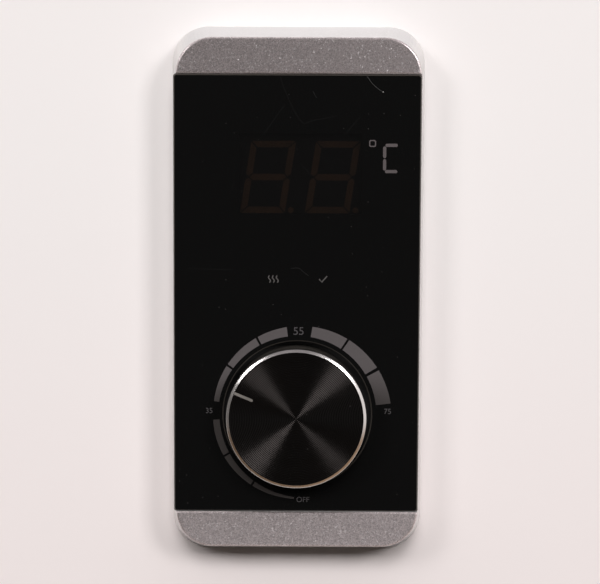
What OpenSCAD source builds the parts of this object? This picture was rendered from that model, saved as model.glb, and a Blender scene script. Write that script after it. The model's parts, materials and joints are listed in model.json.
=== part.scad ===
// Temperature control panel of an electric water heater. A silver bezel holds a black glass
// front with a two-digit display behind it and one rotary knob, and the electronics sit in a
// shallow box that goes through a cut-out in the heater's shell.
//
// Every piece is drawn lying on its back: x to the right, y up the panel, z out of the face,
// with z = 0 on the plane where the rim meets the shell. stand() then turns it upright, so
// that the finished part has z up and its face towards -y.

/* [Bezel] */
// Width of the silver face
face_w = 68.6; // [68:0.2:84]
// Height of the silver face
face_h = 144.4; // [142:0.2:165]
// Radius of the outline's corners
corner_r = 10.2; // [8:0.1:12]
// From the mounting plane to the face of the end caps
depth = 13; // [12.4:0.1:16]
// How far each side leans out from face to rim
side_draft = 1.45; // [0.8:0.05:2]
// How far each end leans out from face to rim
end_draft = 3; // [1.5:0.1:4]
// Wall of the plastic mouldings
wall = 2; // [1.8:0.05:2.3]
// Rounding of the face's edge
edge_round = 0.5; // [0.2:0.05:0.9]
// Chamfer of the caps along the glass
cap_bevel = 0.35; // [0.1:0.05:0.6]
// Height of the silver cap above and below the glass
cap_h = 10.2; // [9.8:0.1:12]
// Straight land at the foot of the rim
rim_land = 0.8; // [0.4:0.1:1.4]

/* [Glass] */
// Thickness of the glass
glass_t = 2; // [1.6:0.1:2.4]
// How far the glass lies below the caps
glass_sink = 0.35; // [0.1:0.05:0.7]
// How far the glass reaches past the face at each side
glass_overhang = 0.4; // [0.1:0.05:0.6]
// How far off centre the glass is stuck on
glass_shift = -0.3; // [-0.5:0.05:0.5]
// Gap between the glass and each cap
glass_gap = 0.12; // [0.08:0.02:0.3]
// Ground edge round the glass and its hole
glass_bevel = 0.3; // [0.1:0.05:0.6]
// Thickness of the adhesive foil behind the glass
tape_t = 0.4; // [0.2:0.05:0.6]

/* [Knob] */
// Outer diameter of the knob over its trim ring
knob_d = 39.3; // [36:0.1:41]
// How far the knob's face stands in front of the glass
knob_rise = 8; // [6:0.1:10]
// Height of the knob's axis above the lower edge of the glass
knob_up = 28; // [27:0.1:30]
// How far the shaft stands to the right of the middle of its hole
shaft_shift = -0.3; // [-0.4:0.05:0.4]
// Gap between the knob and the edge of its hole in the glass
knob_gap = 1.3; // [0.8:0.05:1.6]
// How far the knob's skirt reaches behind the front of the glass
skirt_depth = 4.6; // [4:0.1:5]
// Wall of the knob's skirt
skirt_wall = 1.6; // [1.2:0.1:2.2]
// Width of the chrome trim ring seen from the front
trim_w = 0.76; // [0.6:0.02:1.4]
// How far the trim ring slopes down from its inner to its outer edge
trim_fall = 0.3; // [0.1:0.02:0.4]
// Thickness of the spun metal face
spun_t = 1.2; // [0.9:0.1:1.6]
// Distance from one turned groove of the face to the next
groove_pitch = 0.52; // [0.4:0.02:1]
// Depth of a turned groove
groove_depth = 0.07; // [0.04:0.01:0.12]
// Length of the pointer line
pointer_l = 5.3; // [4:0.1:9]
// Width of the pointer line
pointer_w = 0.75; // [0.5:0.05:1.2]
// Direction of the pointer at rest, anticlockwise from the right
pointer_angle = 157.2; // [10:0.1:260]

/* [Potentiometer] */
// Diameter of the shaft
shaft_d = 6; // [5.6:0.05:6.2]
// Across the flat of the shaft
shaft_flat = 4.5; // [4.2:0.05:5]
// Running clearance of the shaft in its bush
shaft_clearance = 0.05; // [0.02:0.01:0.09]
// Diameter of the can
pot_d = 16.2; // [15:0.1:17]
// Depth of the can from the board to its front plate
pot_t = 7; // [6.6:0.1:7.4]
// Outer diameter of the threaded bush
bush_d = 7; // [6.9:0.05:7.6]
// Thickness of the nut
nut_t = 2.2; // [1.8:0.1:2.4]
// Across the flats of the nut
nut_af = 10; // [9:0.1:10.5]

/* [Display] */
// Height of a digit
digit_h = 20.3; // [18:0.1:21]
// Width of a digit
digit_w = 12.6; // [11.5:0.1:13]
// Distance from one digit to the next
digit_pitch = 18.2; // [18:0.1:18.8]
// Width of a segment
segment_w = 1.8; // [1.4:0.05:2.1]
// Gap between two segments
segment_gap = 0.22; // [0.12:0.02:0.4]
// Lean of the digits, degrees
digit_slant = 8.9; // [0:0.1:10]
// Distance of the digits' centre below the upper edge of the glass
display_down = 28.8; // [27:0.1:30]
// Distance of the digits' centre to the right of the panel's centre
display_shift = 0.6; // [-0.5:0.1:0.8]
// Width of the display module
module_w = 36; // [35.8:0.1:37]
// Height of the display module
module_h = 27; // [26:0.1:28]
// Depth of the display module
module_t = 8.2; // [7:0.1:9]

/* [Light guides] */
// Gap between the display module and the unit symbol's light guide
unit_gap = 1.1; // [0.8:0.05:2]
// Height of the unit symbol's centre above the digits' centre
unit_rise = 6; // [4:0.1:7]
// Height of the unit symbol's light guide
unit_h = 10; // [8:0.1:10.4]
// Half the distance between the two indicators
legend_x = 7; // [6.6:0.1:9]
// Height of the indicators above the middle of the space between display and knob
legend_rise = 1.3; // [-2:0.1:3]
// Width of an indicator's light guide
legend_w = 10; // [6:0.1:11]
// Height of an indicator's light guide
legend_h = 4; // [3:0.1:6]

/* [Board and box] */
// Width of the adhesive land that the bezel keeps round its opening
land = 3.9; // [3.5:0.1:4.4]
// How far the box reaches behind the mounting plane
box_depth = 15; // [14.4:0.1:22]
// Thickness of the circuit board
board_t = 1.6; // [1.2:0.1:2]
// Gap between the board's edge and the wall of the box
board_gap = 2.2; // [2:0.1:3]
// Height of the harness connector
connector_h = 7; // [6:0.1:7.6]
// Number of pins in the harness connector
connector_pins_n = 5; // [3:1:6]

/* [Fastening] */
// Outer radius of the bosses that take the heater's screws
boss_r = 3.5; // [3:0.1:3.7]
// Radius of the pilot holes in those bosses
mount_hole_r = 1.4; // [1.1:0.05:1.6]
// Depth of those pilot holes
mount_hole_depth = 9; // [6:0.1:10]
// Distance of the mounting holes from the sides of the face
mount_inset = 8.8; // [7.8:0.1:9.8]
// Thread radius of the panel's own screws
screw_r = 1.2; // [1:0.05:1.3]

/* [Hidden] */
$fn = 64;

// Fits
fit = 0.15;          // between two mouldings that slide together
seat_fit = 0.03;     // between a piece and the pocket that it is glued or pressed into
hole_slack = 0.1;    // between a pin or screw and a hole that it only passes
light_gap = 0.3;     // between a light guide and the lamp below it
eps = 0.01;          // overlap that fuses two shapes of one moulding

// Heights of the bezel, glass and chassis above the mounting plane
glass_front = depth - glass_sink;
glass_back = glass_front - glass_t;
deck_z = glass_back - tape_t;
deck_back = deck_z - wall;
cap_back = depth - wall;
flange_t = 1.8;
flange_back = deck_back - flange_t;

// Outlines
rim_w = face_w + 2 * side_draft;
rim_h = face_h + 2 * end_draft;
glass_w = face_w + 2 * glass_overhang;
glass_h = face_h - 2 * cap_h;
glass_corner_r = 0.6;
opening_w = face_w - 2 * land;
opening_h = glass_h - 2 * land;
opening_r = 2.4;
knob_x = shaft_shift;
knob_y = -glass_h / 2 + knob_up;
display_y = glass_h / 2 - display_down;
box_w = opening_w + 1.2;
box_h = opening_h + 1.6;
box_r = 4;
flange_lap = 1.7;
box_wall = 1.8;
box_edge_z = 2;      // where the tray of the chassis meets the rear cover
step_y = glass_h / 2 + glass_gap + wall;  // inner side of the wall between glass and cap

// The unit symbol's light guide fills the space between the display and the wall of the tray
unit_left = display_shift + module_w / 2 + unit_gap;
unit_right = box_w / 2 - box_wall - fit - 0.35;
unit_x = (unit_left + unit_right) / 2;
unit_w = unit_right - unit_left;
unit_y = display_y + unit_rise;
legend_y = (display_y - module_h / 2 + knob_y + knob_d / 2 + knob_gap) / 2 + legend_rise;

// Screw places
mount_x = face_w / 2 - mount_inset;
end_boss_y = step_y + (face_h / 2 - wall - step_y) / 2 + 0.6;
chassis_boss_x = mount_x - 14.5;
ear_t = 2.4;
ear_front = box_edge_z + ear_t;
cover_screw_inset = 5.5;
cover_screw_x = box_w / 2 - cover_screw_inset;
cover_screw_y = box_h / 2 - cover_screw_inset;
column_r = 3.9;
post_r = 2.7;
head_r = 2 * screw_r;
head_t = 1.2 * screw_r;
screw_bite = 6;      // thread length in the plastic
chassis_rib_t = 1.2;
chassis_rib_h = 3;
chassis_rib_ys = [legend_y + legend_h / 2 + 5, legend_y - legend_h / 2 - 5];

// Knob heights; the skirt hangs into a round well behind the glass
knob_r = knob_d / 2;
hole_r = knob_r + knob_gap;
well_r = hole_r + 0.5;
well_wall = 1.6;
knob_top = glass_front + knob_rise;
skirt_z = glass_front - skirt_depth;
well_floor = skirt_z - 0.8;
well_back = well_floor - wall;
trim_proud = 0.2;    // the ring stands this much in front of the spun face
skirt_r = knob_r - 0.3;
spun_r = knob_r - trim_w - seat_fit;
spun_seat = knob_top - spun_t;
trim_seat = spun_seat - 1;
crown_t = 2;         // plastic behind the spun face
hub_r = 5.5;
hub_gap = 0.5;       // between the bush's end and the hub
rib_t = 1.2;
rib_h = 2.4;
spring_t = 0.6;
spring_h = 2.4;
pointer_t = 0.6;
pointer_proud = 0.02;

// Potentiometer, from the board forwards
board_front = well_back - pot_t;
board_back = board_front - board_t;
plate_t = 1;
can_wall = 0.7;
can_base_t = 0.8;
can_base = board_front + can_base_t;
washer_t = 0.5;
washer_top = well_floor + washer_t;
nut_top = washer_top + nut_t;
bush_top = nut_top + 0.6;
hub_z = bush_top + hub_gap;
shaft_r = shaft_d / 2;
shaft_end = spun_seat - crown_t - 0.4;
track_t = 0.3;
wiper_r = pot_d / 2 - can_wall - 0.6;
wiper_t = 1.6;
wiper_z = can_base + track_t + 0.9;
track_inner_r = 4.2;
track_outer_r = wiper_r;
brush_gap = 0.05;    // between the brush and the track that it sweeps
terminal_pitch = 5;
terminal_w = 1;
terminal_t = 0.4;

// Board, parts on it and the box behind it
board_w = box_w - 2 * box_wall - 2 * board_gap;
board_h = 2 * (cover_screw_y - column_r - 1);
board_r = 2;
board_post_x = board_w / 2 - post_r - 0.5;
board_post_top_y = display_y - module_h / 2 + 6.5;
board_post_low_y = -(board_h / 2 - post_r - 0.6);
module_back = deck_z - module_t;
led_t = 1;
led_w = 3.2;
led_h = 2.4;
segment_depth = 1;
pin_r = 0.3;
pin_tail = 1.2;      // solder tail behind the board
pin_pitch = 2.54;
pin_row = 10.16;     // half the distance between the two rows of pins
pins_in_row = 5;
chip_d = 7.5;        // body across the legs
chip_t = 2.2;
leg_pitch = 1.27;
leg_w = 0.42;
leg_t = 0.2;
leg_reach = 1.4;     // how far a leg stands out of the body
driver_y = display_y - pin_row - chip_d / 2 - leg_reach - 7.4;
chip_x = board_w / 2 - 17;
chip_y = driver_y - chip_d - 2 * leg_reach - 4.2;
resistor_w = 0.85;
resistor_l = 1.6;
resistor_t = 0.5;
resistor_pitch = 2.2;
resistor_y = chip_y - chip_d / 2 - leg_reach - resistor_l - 2.2;
capacitor_r = 4;
capacitor_l = 7;
capacitor_x = 12 - board_w / 2;
connector_pitch = 2.5;
connector_w = connector_pitch * (connector_pins_n - 1) + 5;
connector_d = 5.8;
connector_wall = 0.6;
connector_floor = 1.4;
connector_x = 15 - board_w / 2;
connector_y = chip_y;
connector_back = board_back - connector_h;
capacitor_y = connector_y - connector_d / 2 - capacitor_r - 10.1;
window_margin = 1.4;
cover_back = -box_depth;
cover_floor = cover_back + box_wall;
cover_bevel = 1;
cover_rib_t = 1.2;
cover_rib_h = 1.6;
cover_rib_ys = [-box_h / 4 - 2, box_h / 4 - 5];
cover_column_l = 4;  // plastic left between a screw's head and the tray
cover_head_z = box_edge_z - cover_column_l;

// ---------------------------------------------------------------- shared shapes

// Turns a piece that is drawn on its back upright, with its face towards -y
module stand() { rotate([90, 0, 0]) children(); }

module rounded(w, h, r) {
    square([w - 2 * r, h], center = true);
    square([w, h - 2 * r], center = true);
    for (sx = [-1, 1], sy = [-1, 1])
        translate([sx * (w / 2 - r), sy * (h / 2 - r)]) circle(r);
}

// Plate with rounded corners between two heights
module slab(w, h, r, z0, z1) {
    translate([0, 0, z0]) linear_extrude(z1 - z0) rounded(w, h, r);
}

module disc(r, z0, z1) { translate([0, 0, z0]) cylinder(r = r, h = z1 - z0); }

module ring(r_out, r_in, z0, z1) {
    difference() {
        disc(r_out, z0, z1);
        disc(r_in, z0 - 1, z1 + 1);
    }
}

module block(w, h, z0, z1) {
    translate([-w / 2, -h / 2, z0]) cube([w, h, z1 - z0]);
}

module at(x, y) { translate([x, y, 0]) children(); }

// The same thing at both signs of x and y
module four(x, y) {
    for (sx = [-1, 1], sy = [-1, 1]) at(sx * x, sy * y) children();
}

// Screw driven from behind: a domed head with a cross recess, and its shank
module screw(head_z, length) {
    difference() {
        union() {
            disc(head_r, head_z - head_t * 0.6, head_z);
            translate([0, 0, head_z - head_t * 0.6])
                rotate_extrude() intersection() {
                    translate([0, head_r * 0.9]) circle(r = head_r * 1.32);
                    translate([0, -head_t * 0.4]) square([head_r * 0.96, head_t * 0.4]);
                }
            disc(screw_r - seat_fit, head_z - eps, head_z + length);
        }
        for (turn = [0, 90]) rotate([0, 0, turn])
            block(head_r * 1.1, head_r * 0.24, head_z - head_t * 1.2, head_z - head_t * 0.35);
    }
}

// ---------------------------------------------------------------- bezel

// Half width and half height of the drafted body at height z
function half_w(z) = face_w / 2 + side_draft * (depth - z) / (depth - rim_land);
function half_h(z) = face_h / 2 + end_draft * (depth - z) / (depth - rim_land);

module outline_slice(z, inset) {
    translate([0, 0, z - eps]) linear_extrude(eps)
        rounded(2 * (half_w(z) - inset), 2 * (half_h(z) - inset), corner_r - inset, $fn = 56);
}

module drafted_body() {
    hull() {
        outline_slice(rim_land, 0);
        for (a = [0:22.5:90])
            outline_slice(depth - edge_round * (1 - sin(a)), edge_round * (1 - cos(a)));
    }
}

module drafted_hollow() {
    hull() {
        outline_slice(-1, wall);
        outline_slice(depth - 0.5, wall);
    }
}

// The room inside the bezel: low behind the deck, deeper inside the two caps
module bezel_room() {
    block(2 * rim_w, 2 * step_y, -2, deck_back);
    block(2 * rim_w, 2 * rim_h, -2, deck_back);
    for (side = [-1, 1])
        at(0, side * (step_y + rim_h / 2)) block(2 * rim_w, rim_h, -2, cap_back);
}

// Room for the glass, across the whole width, with a chamfered lip along each cap
module glass_pocket() {
    half = glass_h / 2 + glass_gap;
    lip = cap_bevel + 1;
    rotate([90, 0, 90]) linear_extrude(2 * rim_w, center = true) polygon([
        [-half, deck_z], [half, deck_z], [half, depth - cap_bevel],
        [half + lip, depth + 1], [-half - lip, depth + 1], [-half, depth - cap_bevel]
    ]);
}

// Rib that ties a boss to the end wall of the bezel
module boss_rib() {
    rib_top = 6;
    rib_end = half_h(rib_top) - wall / 2;
    translate([-0.6, end_boss_y, 1]) cube([1.2, rib_end - end_boss_y, rib_top - 1]);
}

module front_housing() {
    color("silver") stand() difference() {
        union() {
            difference() {
                union() {
                    slab(rim_w, rim_h, corner_r, 0, rim_land);
                    drafted_body();
                }
                intersection() {
                    drafted_hollow();
                    bezel_room();
                }
            }
            four(mount_x, end_boss_y) disc(boss_r, 0, cap_back + eps);
            four(chassis_boss_x, end_boss_y) disc(head_r + 0.4, ear_front, cap_back + eps);
            for (end = [0, 180]) rotate([0, 0, end])
                for (side = [-1, 1]) at(side * mount_x, 0) boss_rib();
        }
        glass_pocket();
        slab(opening_w, opening_h, opening_r, deck_back - 1, deck_z + 1);
        four(mount_x, end_boss_y) disc(mount_hole_r, -1, mount_hole_depth);
        four(chassis_boss_x, end_boss_y) disc(screw_r, ear_front - 1, ear_front + screw_bite);
    }
}

// ---------------------------------------------------------------- glass

module glass_panel() {
    color([0.03, 0.03, 0.035]) stand() difference() {
        translate([glass_shift, 0, 0]) hull() {
            slab(glass_w, glass_h, glass_corner_r, glass_back, glass_front - glass_bevel, $fn = 16);
            slab(glass_w - 2 * glass_bevel, glass_h - 2 * glass_bevel, glass_corner_r,
                 glass_front - eps, glass_front, $fn = 16);
        }
        at(0, knob_y) {
            disc(hole_r, glass_back - 1, glass_front + 1);
            translate([0, 0, glass_front - glass_bevel])
                cylinder(r1 = hole_r, r2 = hole_r + 2 * glass_bevel, h = 2 * glass_bevel);
        }
    }
}

// Everything that shines through the front, as openings in a sheet
module light_windows(slack, z0, z1) {
    at(display_shift, display_y) block(module_w + 2 * slack, module_h + 2 * slack, z0, z1);
    at(unit_x, unit_y) block(unit_w + 2 * slack, unit_h + 2 * slack, z0, z1);
    for (side = [-1, 1])
        at(side * legend_x, legend_y) block(legend_w + 2 * slack, legend_h + 2 * slack, z0, z1);
}

module glass_tape() {
    tape_inset = 0.9;
    color([0.08, 0.08, 0.08]) stand() difference() {
        slab(glass_w - 2 * tape_inset, glass_h - 2 * tape_inset, 1, deck_z, glass_back);
        light_windows(0.5, deck_z - 1, glass_back + 1);
        at(knob_x, knob_y) disc(well_r + 0.2, deck_z - 1, glass_back + 1);
    }
}

// ---------------------------------------------------------------- chassis

// Ear that carries one chassis screw, from the wall of the tray to the boss above it
module chassis_ear() {
    reach = end_boss_y - box_h / 2 + box_wall;
    translate([-head_r - 0.6, end_boss_y - reach, box_edge_z])
        cube([2 * head_r + 1.2, reach, ear_t]);
    at(0, end_boss_y) disc(head_r + 0.6, box_edge_z, ear_front);
}

module board_places() {
    for (side = [-1, 1], y = [board_post_low_y, board_post_top_y])
        at(side * board_post_x, y) children();
}

module inner_chassis() {
    color([0.1, 0.1, 0.11]) stand() difference() {
        union() {
            slab(opening_w - 2 * fit, opening_h - 2 * fit, opening_r - fit, deck_back - eps, deck_z);
            slab(opening_w + 2 * flange_lap, opening_h + 2 * flange_lap, opening_r + flange_lap,
                 flange_back, deck_back);
            difference() {
                slab(box_w, box_h, box_r, box_edge_z, flange_back + eps);
                slab(box_w - 2 * box_wall, box_h - 2 * box_wall, box_r - box_wall,
                     box_edge_z - 1, flange_back + 1);
            }
            at(knob_x, knob_y) disc(well_r + well_wall, well_back, flange_back + eps);
            four(cover_screw_x, cover_screw_y) disc(column_r, box_edge_z, flange_back + eps);
            board_places() disc(post_r, board_front, flange_back + eps);
            for (y = chassis_rib_ys)
                at(0, y) block(box_w - box_wall, chassis_rib_t,
                               flange_back - chassis_rib_h, flange_back + eps);
            for (end = [0, 180]) rotate([0, 0, end])
                for (side = [-1, 1]) at(side * chassis_boss_x, 0) chassis_ear();
        }
        at(knob_x, knob_y) {
            disc(well_r, well_floor, deck_z + 1);
            disc(bush_d / 2 + hole_slack, well_back - 1, well_floor + 1);
        }
        light_windows(fit, flange_back - 1, deck_z + 1);
        four(chassis_boss_x, end_boss_y) disc(screw_r + hole_slack, box_edge_z - 1, ear_front + 1);
        four(cover_screw_x, cover_screw_y) disc(screw_r, box_edge_z - 1, box_edge_z + screw_bite);
        board_places() disc(screw_r, board_front - 1, board_front + screw_bite);
    }
}

module chassis_screws() {
    color("lightgray") stand()
        four(chassis_boss_x, end_boss_y) screw(box_edge_z, ear_t + screw_bite - 0.5);
}

// ---------------------------------------------------------------- display

// Shears a point of a digit sideways by the digit's lean
function lean(p) = [p[0] + p[1] * tan(digit_slant), p[1]];

// The seven bars of a digit about its centre: three across and four down, mitred at the corners
digit_x = digit_w / 2;
digit_y = digit_h / 2;
top_bar = [
    [-(digit_x - segment_gap), digit_y], [digit_x - segment_gap, digit_y],
    [digit_x - segment_w - segment_gap, digit_y - segment_w],
    [-(digit_x - segment_w - segment_gap), digit_y - segment_w]
];
middle_bar = [
    [-(digit_x - segment_w / 2 - segment_gap), 0],
    [-(digit_x - segment_w - segment_gap), segment_w / 2],
    [digit_x - segment_w - segment_gap, segment_w / 2],
    [digit_x - segment_w / 2 - segment_gap, 0],
    [digit_x - segment_w - segment_gap, -segment_w / 2],
    [-(digit_x - segment_w - segment_gap), -segment_w / 2]
];
side_bar = [
    [digit_x, digit_y - segment_gap], [digit_x, segment_w / 2],
    [digit_x - segment_w / 2, segment_gap], [digit_x - segment_w, segment_w / 2 + segment_gap],
    [digit_x - segment_w, digit_y - segment_w - segment_gap]
];
function flipped(bar, sx, sy) = [for (p = bar) [sx * p[0], sy * p[1]]];
digit_bars = [
    top_bar, flipped(top_bar, 1, -1), middle_bar,
    side_bar, flipped(side_bar, -1, 1), flipped(side_bar, 1, -1), flipped(side_bar, -1, -1)
];
point_r = 0.85;
point_at = [digit_x - digit_y * tan(digit_slant) + 1.75, -(digit_y - point_r)];

// All segments of both digits with their points, between two heights
module segments(z0, z1) {
    for (side = [-1, 1]) at(display_shift + side * digit_pitch / 2, display_y) {
        for (bar = digit_bars)
            translate([0, 0, z0]) linear_extrude(z1 - z0) polygon([for (p = bar) lean(p)]);
        at(point_at[0], point_at[1]) disc(point_r, z0, z1);
    }
}

module display_module() {
    color([0.12, 0.12, 0.13]) stand() difference() {
        at(display_shift, display_y) block(module_w, module_h, module_back, deck_z);
        segments(deck_z - segment_depth, deck_z + 1);
    }
}

module display_segments() {
    color([0.45, 0.33, 0.26]) stand() segments(deck_z - segment_depth, deck_z);
}

module display_pin_places() {
    for (row = [-1, 1], i = [0:pins_in_row - 1])
        at(display_shift + (i - (pins_in_row - 1) / 2) * pin_pitch * 2, display_y + row * pin_row)
            children();
}

module display_pins() {
    color("silver") stand() display_pin_places() disc(pin_r, board_back - pin_tail, module_back);
}

module display_spacer() {
    spacer_wall = 1.4;
    color("whitesmoke") stand() at(display_shift, display_y) difference() {
        block(module_w, module_h, board_front, module_back);
        block(module_w - 2 * spacer_wall, module_h - 2 * spacer_wall, board_front - 1, module_back + 1);
    }
}

// ---------------------------------------------------------------- light guides and lamps

// Clear bar through the chassis, with shoulders that stop against the chassis from behind
module light_guide(w, h) {
    shoulder = 0.8;
    block(w, h, board_front + led_t + light_gap, deck_z);
    block(w, h + 2 * (shoulder + fit), flange_back - 1.2, flange_back);
}

module unit_light_guide() {
    color([0.85, 0.86, 0.88]) stand() at(unit_x, unit_y) light_guide(unit_w, unit_h);
}

module legend_light_guides() {
    color([0.85, 0.86, 0.88]) stand()
        for (side = [-1, 1]) at(side * legend_x, legend_y) light_guide(legend_w, legend_h);
}

module led() {
    difference() {
        block(led_w, led_h, board_front, board_front + led_t);
        disc(led_h * 0.36, board_front + led_t * 0.6, board_front + led_t + 1);
    }
}

module indicator_leds() {
    color("ivory") stand() {
        for (half = [-1, 1]) at(unit_x, unit_y + half * unit_h / 4) led();
        for (side = [-1, 1]) at(side * legend_x, legend_y) led();
    }
}

// ---------------------------------------------------------------- board

module terminal_places() {
    for (i = [-1:1])
        at(knob_x + i * terminal_pitch, knob_y - pot_d / 2 - terminal_t / 2) children();
}

module connector_pin_places() {
    for (i = [0:connector_pins_n - 1])
        at(connector_x + (i - (connector_pins_n - 1) / 2) * connector_pitch, connector_y) children();
}

module control_board() {
    color([0.05, 0.3, 0.14]) stand() difference() {
        slab(board_w, board_h, board_r, board_back, board_front);
        board_places() disc(screw_r + hole_slack, board_back - 1, board_front + 1);
        display_pin_places() disc(pin_r + hole_slack, board_back - 1, board_front + 1);
        connector_pin_places() disc(pin_r + hole_slack, board_back - 1, board_front + 1);
        terminal_places()
            block(terminal_w + 2 * hole_slack, terminal_t + 2 * hole_slack,
                  board_back - 1, board_front + 1);
    }
}

module board_screws() {
    color("lightgray") stand() board_places() screw(board_back, board_t + screw_bite - 0.5);
}

// Chip with a row of bent legs down each long side
module chip(legs) {
    stand_off = 0.15;
    body_w = (legs + 0.1) * leg_pitch;
    block(body_w, chip_d, board_back - stand_off - chip_t, board_back - stand_off);
    for (side = [0, 180]) rotate([0, 0, side])
        for (i = [0:legs - 1]) at((i - (legs - 1) / 2) * leg_pitch, chip_d / 2) {
            translate([-leg_w / 2, -eps, board_back - chip_t / 2])
                cube([leg_w, leg_reach / 2 + eps, leg_t]);
            translate([-leg_w / 2, leg_reach / 2 - leg_t, board_back - chip_t / 2])
                cube([leg_w, leg_t, chip_t / 2]);
            translate([-leg_w / 2, leg_reach / 2 - leg_t, board_back - leg_t])
                cube([leg_w, leg_reach / 2 + leg_t, leg_t]);
        }
}

module microcontroller() {
    color([0.13, 0.13, 0.13]) stand() at(chip_x, chip_y) chip(10);
}

module display_driver() {
    color([0.13, 0.13, 0.13]) stand() at(0, driver_y) chip(14);
}

module filter_capacitor() {
    bead = 0.4;
    crimp = capacitor_l - 4 * bead;
    color([0.16, 0.17, 0.22]) stand() at(capacitor_x, capacitor_y)
        translate([0, 0, board_back - capacitor_l]) rotate_extrude() polygon([
            [0, 0], [capacitor_r - bead, 0], [capacitor_r, bead], [capacitor_r, crimp - bead],
            [capacitor_r - bead, crimp], [capacitor_r, crimp + bead],
            [capacitor_r, capacitor_l], [0, capacitor_l]
        ]);
}

module chip_resistors() {
    color([0.2, 0.2, 0.2]) stand()
        for (i = [-2.5:2.5]) at(chip_x + resistor_pitch * i, resistor_y)
            block(resistor_w, resistor_l, board_back - resistor_t, board_back);
}

module harness_connector() {
    key_w = connector_w * 0.3;
    color("ivory") stand() at(connector_x, connector_y) difference() {
        block(connector_w, connector_d, connector_back, board_back);
        block(connector_w - 2 * connector_wall, connector_d - 2 * connector_wall,
              connector_back - 1, board_back - connector_floor);
        translate([0, connector_d / 2, 0])
            block(key_w, 2 * connector_wall + 0.4,
                  connector_back - 1, board_back - connector_floor - 1.5);
        at(-connector_x, -connector_y) connector_pin_places()
            disc(pin_r + seat_fit, board_back - connector_h, board_back + 1);
    }
}

module connector_pins() {
    pin_reach = 3;
    color("gold") stand() connector_pin_places()
        disc(pin_r, board_back - connector_floor - pin_reach, board_front + 0.6);
}

// ---------------------------------------------------------------- potentiometer

module potentiometer_case() {
    color("lightsteelblue") stand() at(knob_x, knob_y) difference() {
        disc(pot_d / 2, board_front, well_back - plate_t);
        disc(pot_d / 2 - can_wall, can_base, well_back);
    }
}

module potentiometer_track() {
    track_sweep = 300;
    color([0.1, 0.08, 0.06]) stand() translate([knob_x, knob_y, can_base])
        rotate([0, 0, -90 + (360 - track_sweep) / 2]) rotate_extrude(angle = track_sweep)
            translate([track_inner_r, 0]) square([track_outer_r - track_inner_r, track_t]);
}

module potentiometer_terminals() {
    color("silver") stand() terminal_places()
        block(terminal_w, terminal_t, board_back - pin_tail, board_front + 2.5);
}

module potentiometer_bush() {
    color("burlywood") stand() at(knob_x, knob_y) difference() {
        union() {
            disc(pot_d / 2, well_back - plate_t, well_back);
            disc(bush_d / 2, well_back - eps, bush_top);
        }
        disc(shaft_r + shaft_clearance, well_back - plate_t - 1, bush_top + 1);
    }
}

module potentiometer_washer() {
    color("silver") stand() at(knob_x, knob_y)
        ring(nut_af / 2 + 0.8, bush_d / 2 + hole_slack, well_floor, washer_top);
}

module potentiometer_nut() {
    color("silver") stand() at(knob_x, knob_y) difference() {
        translate([0, 0, washer_top]) cylinder(r = nut_af / sqrt(3), h = nut_t, $fn = 6);
        disc(bush_d / 2 + seat_fit, washer_top - 1, nut_top + 1);
    }
}

// ---------------------------------------------------------------- rear cover

// Outside of the cover, with a chamfer round its back
module cover_block() {
    slab(box_w, box_h, box_r, cover_back + cover_bevel, box_edge_z);
    hull() {
        slab(box_w, box_h, box_r, cover_back + cover_bevel, cover_back + cover_bevel + eps, $fn = 48);
        slab(box_w - 2 * cover_bevel, box_h - 2 * cover_bevel, box_r - cover_bevel,
             cover_back, cover_back + eps, $fn = 48);
    }
}

module rear_cover() {
    color([0.86, 0.86, 0.84]) stand() difference() {
        union() {
            difference() {
                cover_block();
                slab(box_w - 2 * box_wall, box_h - 2 * box_wall, box_r - box_wall,
                     cover_floor, box_edge_z + 1);
            }
            four(cover_screw_x, cover_screw_y) disc(column_r, cover_floor - eps, box_edge_z);
            for (y = cover_rib_ys)
                at(0, y) block(box_w - box_wall, cover_rib_t,
                               cover_floor - eps, cover_floor + cover_rib_h);
        }
        four(cover_screw_x, cover_screw_y) {
            disc(head_r + 0.3, cover_back - 1, cover_head_z);
            disc(screw_r + hole_slack, cover_head_z - 1, box_edge_z + 1);
        }
        at(connector_x, connector_y)
            block(connector_w + 2 * window_margin, connector_d + 2 * window_margin,
                  cover_back - 1, cover_floor + 1);
    }
}

module cover_screws() {
    color("lightgray") stand()
        four(cover_screw_x, cover_screw_y) screw(cover_head_z, cover_column_l + screw_bite - 0.5);
}

// ---------------------------------------------------------------- knob

// Pieces of the knob are drawn about its axis with the pointer along +x
module on_knob_axis() {
    stand() at(knob_x, knob_y) rotate([0, 0, pointer_angle]) children();
}

// Round bar with one flat, for the shaft and for the bore that takes it
module flatted(r, flat, z0, z1) {
    difference() {
        disc(r, z0, z1);
        translate([flat - r, -r - 1, z0 - 1]) cube([2 * r, 2 * r + 2, z1 - z0 + 2]);
    }
}

module knob_body() {
    color([0.05, 0.05, 0.05]) on_knob_axis() difference() {
        union() {
            disc(skirt_r, skirt_z, trim_seat);
            disc(spun_r - 0.4, trim_seat - eps, spun_seat);
        }
        difference() {
            disc(skirt_r - skirt_wall, skirt_z - 1, spun_seat - crown_t);
            disc(hub_r, hub_z, spun_seat);
            for (i = [0:5]) rotate([0, 0, 30 + 60 * i])
                translate([hub_r - 0.5, -rib_t / 2, spun_seat - crown_t - rib_h])
                    cube([skirt_r - skirt_wall - hub_r + 1, rib_t, rib_h + 1]);
        }
        flatted(shaft_r + seat_fit, shaft_flat + seat_fit, hub_z - 1, shaft_end + 0.2);
    }
}

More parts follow.
